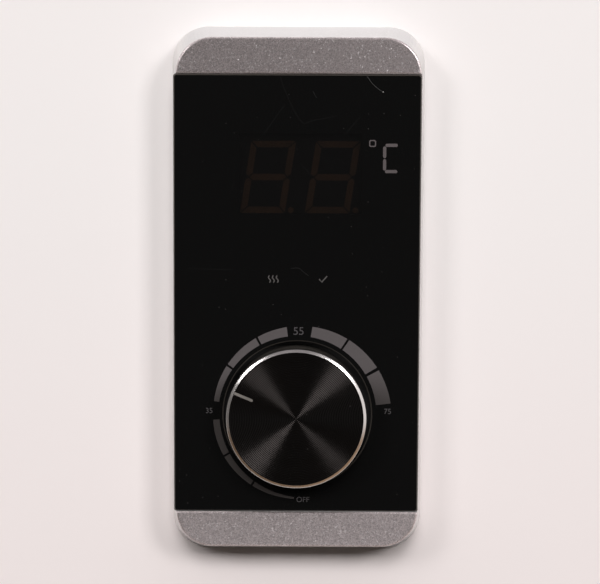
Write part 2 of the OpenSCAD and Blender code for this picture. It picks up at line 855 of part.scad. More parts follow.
// Its front slopes down all the way from the spun face to the outer edge
module knob_trim_ring() {
    edge = 0.1;
    inner_z = knob_top + trim_proud;
    outer_z = inner_z - trim_fall;
    color("gainsboro") on_knob_axis() rotate_extrude($fn = 128) polygon([
        [knob_r - trim_w, trim_seat], [knob_r, trim_seat], [knob_r, outer_z - edge],
        [knob_r - edge, outer_z], [knob_r - trim_w, inner_z]
    ]);
}

module knob_face() {
    groove_n = floor((spun_r - 1) / groove_pitch);
    profile = concat(
        [[0, spun_seat], [spun_r, spun_seat], [spun_r, knob_top]],
        [for (i = [groove_n:-1:1]) each [
            [i * groove_pitch + groove_pitch / 2, knob_top],
            [i * groove_pitch, knob_top - groove_depth]
        ]],
        [[groove_pitch / 2, knob_top], [0, knob_top]]
    );
    color([0.09, 0.09, 0.1]) on_knob_axis() difference() {
        rotate_extrude() polygon(profile);
        pointer_bar(seat_fit, knob_top - pointer_t, knob_top + 1);
    }
}

module pointer_bar(slack, z0, z1) {
    start = spun_r - pointer_l;
    translate([start, -pointer_w / 2 - slack, z0])
        cube([pointer_l + slack, pointer_w + 2 * slack, z1 - z0]);
    at(start, 0) disc(pointer_w / 2 + slack, z0, z1);
}

module knob_pointer() {
    color("white") on_knob_axis() intersection() {
        pointer_bar(0, knob_top - pointer_t, knob_top + pointer_proud);
        disc(spun_r, knob_top - 2, knob_top + 1);
    }
}

module knob_spring() {
    spring_z = hub_z + 0.6;
    color("silver") on_knob_axis() difference() {
        ring(hub_r + spring_t, hub_r, spring_z, spring_z + spring_h);
        translate([0, -1.5, spring_z - 1]) cube([2 * hub_r, 3, spring_h + 2]);
    }
}

module potentiometer_shaft() {
    color("gainsboro") on_knob_axis() {
        flatted(shaft_r, shaft_flat, bush_top + 0.2, shaft_end);
        disc(shaft_r, wiper_z - 0.4, bush_top + 0.2 + eps);
    }
}

module potentiometer_wiper() {
    brush_r = (track_inner_r + track_outer_r) / 2;
    color([0.75, 0.6, 0.35]) on_knob_axis() {
        ring(wiper_r, shaft_r, wiper_z, wiper_z + wiper_t);
        at(brush_r, 0) disc(0.7, can_base + track_t + brush_gap, wiper_z + eps);
    }
}

front_housing();
glass_panel();
glass_tape();
inner_chassis();
chassis_screws();
display_module();
display_segments();
display_pins();
display_spacer();
unit_light_guide();
legend_light_guides();
indicator_leds();
control_board();
board_screws();
microcontroller();
display_driver();
filter_capacitor();
chip_resistors();
harness_connector();
connector_pins();
potentiometer_case();
potentiometer_track();
potentiometer_terminals();
potentiometer_bush();
potentiometer_washer();
potentiometer_nut();
rear_cover();
cover_screws();
knob_body();
knob_trim_ring();
knob_face();
knob_pointer();
knob_spring();
potentiometer_shaft();
potentiometer_wiper();
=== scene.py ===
# %% [markdown]
# # Control panel of a water heater
#
# This script dresses a small control panel: a silver bezel round a sheet of black glass, a
# two-digit display behind the glass, and one turned knob. The construction comes from a CAD
# model that is loaded first and never moved. What is left for Blender is what light does to
# each piece, and the thin marks that are printed on the glass.

# %% Load the frame
import json
import math

import bpy
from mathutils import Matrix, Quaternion, Vector


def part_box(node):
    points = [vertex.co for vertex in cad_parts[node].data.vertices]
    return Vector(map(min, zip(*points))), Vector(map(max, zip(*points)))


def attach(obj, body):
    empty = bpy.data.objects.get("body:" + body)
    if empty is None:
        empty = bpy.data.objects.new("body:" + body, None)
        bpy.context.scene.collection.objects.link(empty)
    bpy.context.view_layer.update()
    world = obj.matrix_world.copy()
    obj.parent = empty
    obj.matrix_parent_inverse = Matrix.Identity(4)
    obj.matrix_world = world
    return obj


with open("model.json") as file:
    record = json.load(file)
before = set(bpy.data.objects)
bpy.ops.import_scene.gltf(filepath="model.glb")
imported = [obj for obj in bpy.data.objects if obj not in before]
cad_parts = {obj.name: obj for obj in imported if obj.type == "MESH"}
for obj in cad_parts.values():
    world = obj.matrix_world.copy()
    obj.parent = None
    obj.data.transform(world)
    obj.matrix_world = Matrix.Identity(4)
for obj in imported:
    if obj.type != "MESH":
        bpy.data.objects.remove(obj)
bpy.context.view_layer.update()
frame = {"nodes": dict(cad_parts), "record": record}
record = frame["record"]
print("pieces from the frame:", len(frame["nodes"]))

# %% [markdown]
# ## Camera
#
# A long lens keeps the panel's sides nearly parallel. The camera stands a little above the
# middle of the panel and looks slightly down, so the shaded gap above the knob shows. Its
# place is worked out from the front of the glass, and the tiny roll is that of a camera held
# by hand.

# %% Camera
MM = 0.001


def look_at(item, target, roll=0.0):
    """Turns a camera or lamp, which looks along its own -Z, towards a point."""
    aim = (Vector(target) - item.location).to_track_quat("-Z", "Y")
    item.rotation_mode = "QUATERNION"
    item.rotation_quaternion = aim @ Quaternion((0, 0, 1), roll)


glass_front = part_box("glass_panel")[0].y
camera_data = bpy.data.cameras.new("camera")
camera_data.sensor_width = 36
camera_data.lens = 127.8
camera = bpy.data.objects.new("camera", camera_data)
camera.location = (0.63 * MM, glass_front - 596.35 * MM, 70.1 * MM)
look_at(camera, (0.63 * MM, glass_front, 0.95 * MM), math.radians(0.25))
bpy.context.scene.collection.objects.link(camera)
bpy.context.scene.camera = camera
bpy.context.scene.view_settings.view_transform = "Standard"
print("camera is", round((camera.location.y - glass_front) / MM), "mm from the glass")

# %% [markdown]
# ## Writing shaders as sums
#
# A finish is a small network of nodes. Placing each node by hand hides the idea behind it, so
# two classes do that work. A Signal is the output of a node, and arithmetic on it adds the
# Math nodes that it needs: `1 - mask` reads like the sum that it is. A Network adds any other
# node from its type, its settings and the values of its sockets.

# %% Signals and networks
class Signal:
    """The output of a shader node. Arithmetic on it adds Math nodes."""

    def __init__(self, network, socket):
        self.network = network
        self.socket = socket

    def maths(self, operation, *values, **settings):
        settings["operation"] = operation
        return self.network.node("Math", settings, dict(enumerate(values)))

    def __add__(self, other):
        return self.maths("ADD", self, other)

    def __radd__(self, other):
        return self.maths("ADD", other, self)

    def __sub__(self, other):
        return self.maths("SUBTRACT", self, other)

    def __rsub__(self, other):
        return self.maths("SUBTRACT", other, self)

    def __mul__(self, other):
        return self.maths("MULTIPLY", self, other)

    def __rmul__(self, other):
        return self.maths("MULTIPLY", other, self)

    def __truediv__(self, other):
        return self.maths("DIVIDE", self, other)

    def __abs__(self):
        return self.maths("ABSOLUTE", self)

    def fraction(self):
        """What is left after the whole number is taken away."""
        return self.maths("FRACT", self)

    def rise(self, low, high, bottom=0.0, top=1.0):
        """Goes smoothly from bottom to top as the signal goes from low to high."""
        limits = {"Value": self, "From Min": low, "From Max": high, "To Min": bottom, "To Max": top}
        return self.network.node("MapRange", {"interpolation_type": "SMOOTHSTEP"}, limits)


class Network:
    """A tree of shader nodes, which is built by calls."""

    def __init__(self, tree):
        self.tree = tree
        tree.nodes.clear()

    def node(self, kind, settings=None, inputs=None, output=0):
        """Adds a node: its settings come first, because they decide which sockets it has."""
        made = self.tree.nodes.new("ShaderNode" + kind)
        for name, value in (settings or {}).items():
            setattr(made, name, value)
        for name, value in (inputs or {}).items():
            if isinstance(value, Signal):
                self.tree.links.new(value.socket, made.inputs[name])
            else:
                made.inputs[name].default_value = value
        return Signal(self, made.outputs[output]) if made.outputs else None

    def mix(self, factor, first, second):
        """A blend of two colours."""
        return self.node("Mix", {"data_type": "RGBA"}, {0: factor, 6: first, 7: second}, output=2)

    def vector(self, operation, *values, output=0):
        return self.node("VectorMath", {"operation": operation}, dict(enumerate(values)), output)

    def axes(self, vector):
        """The three parts of a vector."""
        split = self.node("SeparateXYZ", inputs={0: vector}).socket.node
        return [Signal(self, socket) for socket in split.outputs]


def tone(red, green, blue):
    """The linear colour that shows on a screen as these three numbers from 0 to 255."""
    shares = [value / 255 for value in (red, green, blue)]
    return (*[s / 12.92 if s <= 0.04045 else ((s + 0.055) / 1.055) ** 2.4 for s in shares], 1.0)


print("a middle grey is", [round(part, 3) for part in tone(118, 118, 118)])

# %% [markdown]
# ## Light and surroundings
#
# The panel is on the white shell of the appliance, so the stage is a patch of that shell with
# the panel's cut-out in it, above a pale floor. Black glass and chrome show whatever is round
# them, so the world has a room for mirrors. Straight in front of the panel is a dark spot.
# Below it lies a brown table, nearly black in the middle and paler to the right, with a sheet
# of paper low in front. Above it is a room that grows paler to the right and is grey higher
# up. From 64 to 84 degrees away from the spot everything fades to pale.
#
# What the eye sees directly is pale all over. Matt surfaces don't see the room. From the front
# they get soft light from above and little from below, and from behind an even grey. A ray
# that leaves a matt surface and then meets a glossy one gets that soft light too.

# %% World
scene = bpy.context.scene
world = bpy.data.worlds.new("studio")
scene.world = world
world.use_nodes = True
sky = Network(world.node_tree)
direction = sky.node("TexCoord", output="Generated")
across, depth, height = sky.axes(direction)
in_front = 0 - depth
core, inner, middling, outer = [math.cos(math.radians(angle)) for angle in (13, 19, 64, 84)]
pale = tone(238, 234, 232)
room = sky.mix(across.rise(-0.5, 0.5), tone(106, 102, 100), tone(226, 220, 218))
room = sky.mix(height.rise(0.25, 0.5), room, tone(132, 127, 128))
table = sky.mix(across.rise(-0.6, 0.6), tone(100, 80, 62), tone(148, 120, 96))
table_side, table_middle = 0.64, 0.8
table = sky.mix(in_front.rise(table_side, table_middle), table, tone(40, 34, 28))
around = sky.mix(height.rise(-0.45, -0.15), table, room)
sides = sky.mix(in_front.rise(outer, middling), pale, around)
paper_aim, paper_edge, paper_full = [math.radians(angle) for angle in (25, 13, 9)]
toward_paper = (0, -math.cos(paper_aim), -math.sin(paper_aim))
near_paper = sky.vector("DOT_PRODUCT", direction, toward_paper, output="Value")
paper = near_paper.rise(math.cos(paper_edge), math.cos(paper_full))
sides = sky.mix(paper, sides, tone(244, 240, 240))
mirrored = sky.mix(in_front.rise(inner, core), sides, tone(20, 19, 19))
above = sky.mix(height.rise(0.3, 0.75), tone(44, 38, 34), tone(240, 238, 236))
soft = sky.mix(depth.rise(-0.1, 0.2), above, tone(186, 184, 183))
glossy = sky.node("LightPath", output="Is Glossy Ray")
in_mirror = glossy + sky.node("LightPath", output="Is Transmission Ray")
straight = 1 - sky.node("LightPath", output="Diffuse Depth")
unseen = sky.mix(in_mirror * straight.rise(0, 1), soft, mirrored)
colour = sky.mix(sky.node("LightPath", output="Is Camera Ray"), unseen, pale)
background = sky.node("Background", inputs={"Color": colour, "Strength": 1.0})
sky.node("OutputWorld", inputs={"Surface": background})
print("mirrors see a dark spot", round(math.degrees(math.acos(core))), "degrees to each side")

# %% [markdown]
# The stage pieces are plain meshes. The shell's patch is a ring of faces from the cut-out out
# to a circle. The cut-out follows the bezel's outline half a millimetre inside it, and the
# patch lies a hair behind the rim, so the two never share a plane. It is a little pinker low
# down, it fades out towards its edge, and it is clear from behind, so that the back of the
# panel can be looked at too. The floor is hidden from mirrors, or the trim ring would show it.

# %% Stage
def mesh_object(name, points, faces, material=None):
    """A mesh object from its points and the faces between them."""
    mesh = bpy.data.meshes.new(name)
    mesh.from_pydata([tuple(p) for p in points], [], faces)
    mesh.validate()
    made = bpy.data.objects.new(name, mesh)
    scene.collection.objects.link(made)
    if material:
        mesh.materials.append(material)
    return made


def circle(radius, steps):
    return [(radius * math.cos(a), radius * math.sin(a))
            for a in (math.tau * i / steps for i in range(steps))]


def bridge(count):
    """The faces between two closed rows of points that follow each other."""
    return [(i, (i + 1) % count, count + (i + 1) % count, count + i) for i in range(count)]


rim_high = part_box("front_housing")[1]
shell_solid, shell_clear = 0.15, 0.21
shell_steps = 96
shell_back = 0.03 * MM
rim_corner, under_rim = 10.2 * MM, 0.5 * MM
turn_in = rim_corner - under_rim
cut_out = []
for x, z in circle(1, shell_steps):
    middle_x = math.copysign(rim_high.x - rim_corner, x)
    middle_z = math.copysign(rim_high.z - rim_corner, z)
    cut_out.append((middle_x + x * turn_in, shell_back, middle_z + z * turn_in))
shell_edge = [(x, shell_back, z) for x, z in circle(shell_clear, shell_steps)]

shell_paint = bpy.data.materials.new("shell_paint")
shell_paint.use_nodes = True
paint = Network(shell_paint.node_tree)
spot = paint.node("TexCoord", output="Object")
from_middle = paint.vector("LENGTH", spot, output="Value")
back_side = paint.node("NewGeometry", output="Backfacing")
there = from_middle.rise(shell_solid, shell_clear, 1.0, 0.0) * (1 - back_side)
# Painted warm light: the shell's white is tinted pinker low down.
painted_warm_light = paint.axes(spot)[2].rise(-0.09, 0.05)
white = paint.mix(painted_warm_light, tone(246, 239, 239), tone(244, 241, 241))
enamel = paint.node("BsdfDiffuse", inputs={"Color": white})
clear = paint.node("BsdfTransparent")
surface = paint.node("MixShader", inputs={0: there, 1: clear, 2: enamel})
paint.node("OutputMaterial", inputs={"Surface": surface})
shell = mesh_object("shell_patch", shell_edge + cut_out, bridge(shell_steps), shell_paint)
print("shell patch reaches", shell_clear, "m from the middle")

floor_solid, floor_clear = 0.4, 0.7
floor_steps = 96
floor_height = -0.9
floor_paint = bpy.data.materials.new("floor_paint")
floor_paint.use_nodes = True
paint = Network(floor_paint.node_tree)
from_middle = paint.vector("LENGTH", paint.node("TexCoord", output="Object"), output="Value")
matt = paint.node("BsdfDiffuse", inputs={"Color": tone(226, 218, 208)})
clear = paint.node("BsdfTransparent")
gone = from_middle.rise(floor_solid, floor_clear)
surface = paint.node("MixShader", inputs={0: gone, 1: matt, 2: clear})
paint.node("OutputMaterial", inputs={"Surface": surface})
floor_edge = [(x, y, 0) for x, y in circle(floor_clear, floor_steps)]
floor = mesh_object("floor", floor_edge, [tuple(range(floor_steps))], floor_paint)
floor.location = (0, 0, floor_height)
floor.visible_glossy = False
print("floor lies", -floor_height, "m below the panel's middle")

# %% [markdown]
# Three square soft lamps stand in front of the shell and above it. The two at the sides throw
# the soft shadows beside the bezel, and each draws a pair of bright wedges on the turned face
# of the knob. The right one is the stronger. The one in the middle is the strongest and makes
# the dark shadow below the panel. It is hidden from mirrors, so it draws nothing in the black
# pieces. A weak lamp behind the shell lights the back.

# %% Lamps
def soft_lamp(name, toward, distance, size, share):
    """A square lamp, which gives the shell this share of full light."""
    to_lamp = Vector(toward).normalized()
    data = bpy.data.lights.new(name, "AREA")
    data.size = size
    data.energy = share * (math.pi * distance) ** 2 / abs(to_lamp.y)
    data.color = (1.0, 0.968, 0.958)
    lamp = bpy.data.objects.new(name, data)
    lamp.location = to_lamp * distance
    look_at(lamp, (0, 0, 0))
    lamp.visible_camera = False
    scene.collection.objects.link(lamp)
    return lamp


lamps = [
    soft_lamp("lamp_above", (0, -1, 0.56), 2.0, 0.67, 0.386),
    soft_lamp("lamp_right", (0.67, -1, 0.475), 1.3, 0.33, 0.232),
    soft_lamp("lamp_left", (-0.79, -1, 0.56), 1.3, 0.34, 0.145),
    soft_lamp("lamp_rear", (-0.5, 0.8, 0.6), 1.3, 0.5, 0.3),
]
lamps[0].visible_glossy = False
print("lamps:", [lamp.name for lamp in lamps])

# %% [markdown]
# ## Finishes
#
# The pieces of the frame get their finish through the record, which says which slot each
# piece belongs to.

# %% Finish helper
class Finish(Network):
    """A material: nodes that vary over the surface, which end in one glossy shader."""

    def __init__(self, name):
        self.material = bpy.data.materials.new(name)
        self.material.use_nodes = True
        super().__init__(self.material.node_tree)
        self.place = self.node("TexCoord", output="Object")

    def noise(self, size, detail=2.0, stretch=(1, 1, 1)):
        """Soft random values round 0.5, with lumps of about this size in metres."""
        place = self.vector("MULTIPLY", self.place, stretch)
        return self.node("TexNoise", inputs={"Vector": place, "Scale": 1 / size, "Detail": detail})

    def bump(self, height, depth):
        """The normal of a surface that this height, times this depth, is laid on."""
        return self.node("Bump", inputs={"Height": height, "Distance": depth})

    def surface(self, **sockets):
        """The shader. Underscores in a socket's name stand for spaces."""
        inputs = {name.replace("_", " "): value for name, value in sockets.items()}
        shader = self.node("BsdfPrincipled", inputs=inputs)
        self.node("OutputMaterial", inputs={"Surface": shader})
        return self.material


slot_of = {part["node"]: part["material_slot"] for part in record["subparts"]}


def dress(slot, material):
    """Gives a finish to every frame piece of one slot."""
    found = [name for name in slot_of if slot_of[name] == slot]
    for name in found:
        mesh = frame["nodes"][name].data
        mesh.materials.clear()
        mesh.materials.append(material)
    print(slot, "on", ", ".join(found))


print("slots:", len(set(slot_of.values())))

# %% [markdown]
# ## Silver bezel
#
# The bezel is moulded plastic under a paint full of tiny aluminium flakes. Each flake lies at
# its own small tilt, so it catches or misses the lamps: the paint sparkles from close by and
# looks an even grey from afar. Random cells give each flake a tilt and a tone of its own, and
# a tenth of them are glints, which are paler and tilt further. The tilt turns the normal, so
# the sparkle comes from the lamps themselves and moves with the light.
#
# The paint lies differently on the sides: there it is less of a metal. Their colour is painted
# light and shade by the way a side looks. The sides that look to the left or right are painted
# palest, a painted light that they throw onto the shell beside them, and the top and bottom
# sides darker. What looks down is painted dark, a painted shade. Edges are drawn a little
# rounder than the frame has them: the normal bends over 0.4 mm beside each.

# %% Silver paint
flake_size, edge_radius = 0.25 * MM, 0.4 * MM


def flakes(finish, size):
    """Random values from 0 to 1, three for each cell of this size."""
    return finish.node("TexVoronoi", inputs={"Vector": finish.place, "Scale": 1 / size}, output="Color")


def tilted_normal(finish, turns, tilt):
    """The surface's normal, turned a little by three random values."""
    turn = finish.node("VectorMath", {"operation": "SCALE"}, {
        0: finish.vector("SUBTRACT", turns, (0.5, 0.5, 0.5)), "Scale": tilt})
    normal = finish.node("NewGeometry", output="Normal")
    return finish.vector("NORMALIZE", finish.vector("ADD", normal, turn))


def silver_paint():
    finish = Finish("silver_paint")
    cells = flakes(finish, flake_size)
    share, glint = finish.axes(cells)[:2]
    cloud = finish.noise(1.2 * MM, detail=3).rise(0.3, 0.7)
    grey = finish.mix(cloud, tone(233, 223, 224), tone(241, 231, 232))
    grey = finish.mix(share.rise(0, 1, 0, 0.8), grey, tone(178, 170, 171))
    grey = finish.mix(glint.rise(0.9, 1), grey, tone(255, 250, 252))
    x, y, z = finish.axes(finish.node("NewGeometry", output="Normal"))
    side = abs(y).rise(0.3, 0.7, 1.0, 0.0)
    # Painted light: sides that look left or right get a paler colour than the top and bottom sides, so
    # they throw more light onto the shell beside them.
    painted_side_light = finish.mix(abs(x).rise(0.5, 0.95), tone(207, 206, 207), tone(234, 231, 230))
    grey = finish.mix(side, grey, painted_side_light)
    # Painted shade: every surface that looks down is painted dark, so the bottom edge and bottom side show
    # no light.
    under = (0 - z).rise(0.45, 0.97)
    grey = finish.mix(under, grey, tone(70, 66, 64))
    tilted = tilted_normal(finish, cells, 0.06 + 0.16 * glint.rise(0.9, 1))
    rounded = finish.node("Bevel", {"samples": 4}, {"Radius": edge_radius, "Normal": tilted})
    return finish.surface(
        Base_Color=grey,
        Metallic=0.9 - 0.75 * side,
        Roughness=0.3,
        Normal=rounded,
    )


dress("silver_paint", silver_paint())

# %% [markdown]
# ## Black glass
#
# The front is a sheet of glass with black ink on its back. The ink leaves a window over the
# digits, so the unlit segments just show as a brown shimmer. It reaches a little higher than
# they do, or its upper edge would shade them from the lamps above. The glass keeps its solid
# from the frame: outside the window it is opaque, and inside it the front face lets a little
# light through and the back face all of it. Dust is paler, and so are the ground edges.

# %% Black glass
display_low, display_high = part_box("display_segments")
ink_black = tone(15, 15, 15)
window_above, window_edge = Vector((0, 0, 2 * MM)), 0.4 * MM


def inside(finish, low, high, soft):
    """1 inside an upright rectangle of the face, going to 0 over the distance soft."""
    x, _, z = finish.axes(finish.place)
    middle = [(low.x + high.x) / 2, (low.z + high.z) / 2]
    half = [(high.x - low.x) / 2, (high.z - low.z) / 2]
    across = abs(x - middle[0]).rise(half[0], half[0] + soft, 1.0, 0.0)
    upright = abs(z - middle[1]).rise(half[1], half[1] + soft, 1.0, 0.0)
    return across * upright


def dust(finish, size, share):
    """Specks in the middle of a random few of the cells of this size."""
    cells = {"Vector": finish.place, "Scale": 1 / size}
    near = finish.node("TexVoronoi", inputs=cells, output="Distance").rise(0.02, 0.07, 1.0, 0.0)
    chance = finish.axes(finish.node("TexVoronoi", inputs=cells, output="Color"))[0]
    return near * chance.rise(1 - share, 1 - share + 0.02)


def smoked_glass():
    finish = Finish("smoked_glass")
    window = inside(finish, display_low, display_high + window_above, window_edge)
    behind = finish.node("NewGeometry", output="Backfacing")
    opacity = 1 - window * (0.14 + 0.86 * behind)
    specks = dust(finish, 2.2 * MM, 0.3)
    film = finish.noise(30 * MM, detail=4).rise(0.35, 0.75)
    facing = abs(finish.axes(finish.node("NewGeometry", output="Normal"))[1])
    ground = facing.rise(0.8, 0.95, 1.0, 0.0)
    black = finish.mix(specks, ink_black, tone(66, 64, 63))
    return finish.surface(
        Base_Color=finish.mix(ground, black, tone(72, 68, 64)),
        Roughness=0.03 + 0.05 * film + 0.3 * specks + 0.3 * ground,
        Alpha=opacity,
        IOR=1.5,
    )


dress("smoked_glass", smoked_glass())

# %% [markdown]
# ## Display behind the glass
#
# The segments are bars of clear resin over unlit diodes, in a black case. Without light in
# them they are a dull light brown, and the dark glass takes most of that away.

# %% Display
def segment_resin():
    finish = Finish("segment_resin")
    patch = finish.noise(3 * MM).rise(0.3, 0.7)
    return finish.surface(
        Base_Color=finish.mix(patch, tone(152, 116, 90), tone(162, 118, 88)),
        Roughness=0.35,
    )


def moulding(name, low, high, roughness, grain=0.0, size=0.6 * MM):
    """Moulded plastic: a little uneven in colour, with the fine grain of the tool's steel."""
    finish = Finish(name)
    shade = finish.noise(9 * MM, detail=3).rise(0.3, 0.7)
    sockets = {"Base_Color": finish.mix(shade, low, high), "Roughness": roughness}
    if grain:
        sockets["Normal"] = finish.bump(finish.noise(size, detail=2), grain)
    return finish.surface(**sockets)


dress("segment_resin", segment_resin())
dress("display_case", moulding("display_case", tone(48, 45, 45), tone(54, 51, 51), 0.5))
dress("black_foil", moulding("black_foil", tone(16, 16, 16), tone(22, 22, 22), 0.6))

# %% [markdown]
# ## Knob
#
# The knob's face is black, and a cutting tool has left it covered with fine rings. Each ring is
# a tiny V groove, so one of its two flanks looks towards each lamp, but only where the ring
# runs square to the lamp's direction. That is why two lamps draw four wedges. The frame has
# grooves too, a little wider and flatter. Here the normal draws its own, finer and steeper,
# with flanks that are very slightly curved.

# %% Turned face
knob_low, knob_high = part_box("knob_face")
knob_axis = (knob_low + knob_high) / 2
ring_pitch = 0.47 * MM
ring_slope, ring_curve = 0.42, 0.06


def about_axis(finish):
    """How far a point is from the knob's axis, and the direction away from it."""
    from_axis = finish.vector("SUBTRACT", finish.place, tuple(knob_axis))
    flat = finish.vector("MULTIPLY", from_axis, (1, 0, 1))
    return finish.vector("LENGTH", flat, output="Value"), finish.vector("NORMALIZE", flat)


def in_world(finish, normal):
    turn = {"vector_type": "NORMAL", "convert_from": "OBJECT", "convert_to": "WORLD"}
    return finish.node("VectorTransform", turn, {0: normal})


def turned_normal(finish):
    """The normal of fine V grooves that run round the knob's axis."""
    radius, outward = about_axis(finish)
    across = (radius / ring_pitch).fraction() * 2 - 1
    steepness = across.maths("SIGN", across) * ring_slope + across * ring_curve
    lean = finish.node("VectorMath", {"operation": "SCALE"}, {0: outward, "Scale": steepness})
    return in_world(finish, finish.vector("NORMALIZE", finish.vector("ADD", lean, (0, -1, 0))))


def spun_black():
    finish = Finish("spun_black")
    specks = dust(finish, 3 * MM, 0.2)
    return finish.surface(
        Base_Color=finish.mix(specks, tone(9, 9, 9), tone(60, 58, 57)),
        Roughness=0.18,
        IOR=1.18,
        Specular_Tint=tone(255, 243, 240),
        Normal=turned_normal(finish),
    )


dress("spun_black", spun_black())

# %% [markdown]
# The ring round the face is turned to a mirror and plated. Its front slopes outwards and is
# slightly crowned, so a lamp shows in it as a bright crescent. The frame has the slope, and
# the normal adds the crown. The skirt below it is black plastic, and the pointer is a satin
# silver line let into the face.

# %% Ring, skirt and pointer
def polished_metal(name, colour, low, high, size=2 * MM):
    """Plain metal whose polish varies a little from place to place."""
    finish = Finish(name)
    smear = finish.noise(size, detail=3).rise(0.3, 0.7)
    return finish.surface(Base_Color=colour, Metallic=1.0, Roughness=low + (high - low) * smear)


trim_low, trim_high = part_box("knob_trim_ring")
trim_width = 0.76 * MM
trim_outer = (trim_high.x - trim_low.x) / 2
trim_inner = trim_outer - trim_width
inner_slope, slope_gain = 0.34, 0.24


def crowned_normal(finish):
    """The normal of a front that leans out ever more from its inner to its outer edge."""
    radius, outward = about_axis(finish)
    lean = (radius - trim_inner) / (trim_outer - trim_inner) * slope_gain + inner_slope
    crown = finish.node("VectorMath", {"operation": "SCALE"}, {0: outward, "Scale": lean})
    crown = finish.vector("NORMALIZE", finish.vector("ADD", crown, (0, -1, 0)))
    plain = finish.node("NewGeometry", output="Normal")
    front = abs(finish.axes(plain)[1]).rise(0.5, 0.8)
    return finish.vector("NORMALIZE", finish.mix(front, plain, in_world(finish, crown)))


def bright_chrome():
    finish = Finish("bright_chrome")
    smear = finish.noise(2 * MM, detail=3).rise(0.3, 0.7)
    return finish.surface(
        Base_Color=tone(236, 234, 233),
        Metallic=1.0,
        Roughness=0.16 + 0.06 * smear,
        Normal=crowned_normal(finish),
    )


dress("bright_chrome", bright_chrome())
dress("knob_black", moulding("knob_black", tone(60, 57, 54), tone(70, 67, 63), 0.12))
satin = moulding("pointer_silver", tone(110, 106, 102), tone(126, 122, 118), 0.3, 0.01 * MM, 0.2 * MM)
dress("pointer_silver", satin)

# %% [markdown]
# ## Behind the shell
#
# The box behind the shell is light grey moulded plastic with a fine spark grain. Screws are
# zinc plated. What is inside the box is dressed as well, because the harness window shows a
# little of it: the green board, its tinned pins and the parts that are soldered to it.

# %% Back and inside
def circuit_board():
    finish = Finish("circuit_board")
    weave = finish.noise(1.5 * MM, detail=2, stretch=(1, 1, 4)).rise(0.4, 0.6)
    return finish.surface(
        Base_Color=finish.mix(weave, tone(20, 84, 46), tone(26, 98, 54)),
        Roughness=0.25,
        Normal=finish.bump(weave, 0.02 * MM),
    )


dress("black_moulding", moulding("black_moulding", tone(30, 30, 31), tone(38, 38, 39), 0.5, 0.03 * MM))
dress("white_moulding", moulding("white_moulding", tone(226, 222, 212), tone(232, 229, 220), 0.4))
cover_grey = tone(196, 195, 191), tone(204, 203, 199)
dress("cover_moulding", moulding("cover_moulding", *cover_grey, 0.5, 0.05 * MM))
dress("zinc_steel", polished_metal("zinc_steel", tone(196, 198, 200), 0.25, 0.42, 1 * MM))
dress("clear_resin", moulding("clear_resin", tone(196, 198, 200), tone(206, 208, 210), 0.2))
dress("tinned_metal", polished_metal("tinned_metal", tone(206, 206, 202), 0.2, 0.4, 0.5 * MM))
dress("circuit_board", circuit_board())
dress("chip_resin", moulding("chip_resin", tone(34, 34, 34), tone(44, 44, 44), 0.55, 0.02 * MM, 0.15 * MM))
dress("capacitor_sleeve", moulding("capacitor_sleeve", tone(40, 44, 62), tone(46, 50, 70), 0.2))
dress("plated_can", polished_metal("plated_can", tone(190, 192, 194), 0.2, 0.35))
dress("carbon_track", moulding("carbon_track", tone(24, 24, 24), tone(34, 34, 34), 0.7))
dress("cast_zinc", polished_metal("cast_zinc", tone(176, 176, 176), 0.35, 0.55))
dress("shaft_metal", polished_metal("shaft_metal", tone(204, 204, 206), 0.2, 0.35))
dress("brush_bronze", polished_metal("brush_bronze", tone(204, 170, 112), 0.2, 0.35))

# %% [markdown]
# ## Printed marks
#
# The marks are grey ink. They are so thin that each is a flat mesh a hair in front of the
# glass, with the gloss of the glass. Their places are measured from the knob's axis and from
# the middle of the panel. The dial's upper arc grows wider towards the hot end, and the lower
# one, towards off, tapers away.

# %% Ink and flat shapes
hair = 0.012 * MM
print_y = glass_front - hair
dial_middle = (0, knob_axis.z)


def ink(name, low, high, floor_z=0.0, top_z=1.0):
    """Grey ink under gloss that goes from one tone to another between two heights."""
    finish = Finish(name)
    z = finish.axes(finish.place)[2]
    grain = finish.noise(0.5 * MM, detail=2).rise(0.2, 0.8, 0.94, 1.0)
    shade = z.rise(floor_z, top_z) * grain
    return finish.surface(Base_Color=finish.mix(shade, low, high), Roughness=0.05, IOR=1.5)


def flat_mark(name, outlines, material):
    """One flat piece in front of the glass from closed outlines of (x, z) points."""
    points, faces = [], []
    for outline in outlines:
        faces.append(tuple(range(len(points), len(points) + len(outline))))
        points += [(x, print_y, z) for x, z in outline]
    mark = mesh_object(name, points, faces, material)
    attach(mark, "panel")
    return mark


def polar(radius, degrees, middle=dial_middle):
    angle = math.radians(degrees)
    return middle[0] + radius * math.cos(angle), middle[1] + radius * math.sin(angle)


def band(start, stop, inner, outer, step=1.5):
    """The outline of a stretch of a dial's arc. inner and outer give a radius for an angle."""
    steps = max(2, round((stop - start) / step))
    angles = [start + (stop - start) * i / steps for i in range(steps + 1)]
    return [polar(outer(a), a) for a in angles] + [polar(inner(a), a) for a in reversed(angles)]


def rod(start, stop, width, steps=8):
    """The outline of a bar with round ends."""
    (x0, z0), (x1, z1) = start, stop
    lie = math.degrees(math.atan2(z1 - z0, x1 - x0))
    turn = [90 + 180 * i / steps for i in range(steps + 1)]
    first = [polar(width / 2, lie + a, (x0, z0)) for a in turn]
    return first + [polar(width / 2, lie + a + 180, (x1, z1)) for a in turn]


print("marks lie", round((glass_front - print_y) / MM, 3), "mm in front of the glass")

# %% Dial
def between(low, high, start, stop):
    """A radius in millimetres that grows evenly with the angle."""
    return lambda angle: (low + (high - low) * (angle - start) / (stop - start)) * MM


def tapered(angle):
    """The inner radius of the lower arc, which closes on the outer one ever faster."""
    along = (angle - lower_start) / (lower_stop - lower_start)
    return (22.1 + 1.8 * along ** 2) * MM


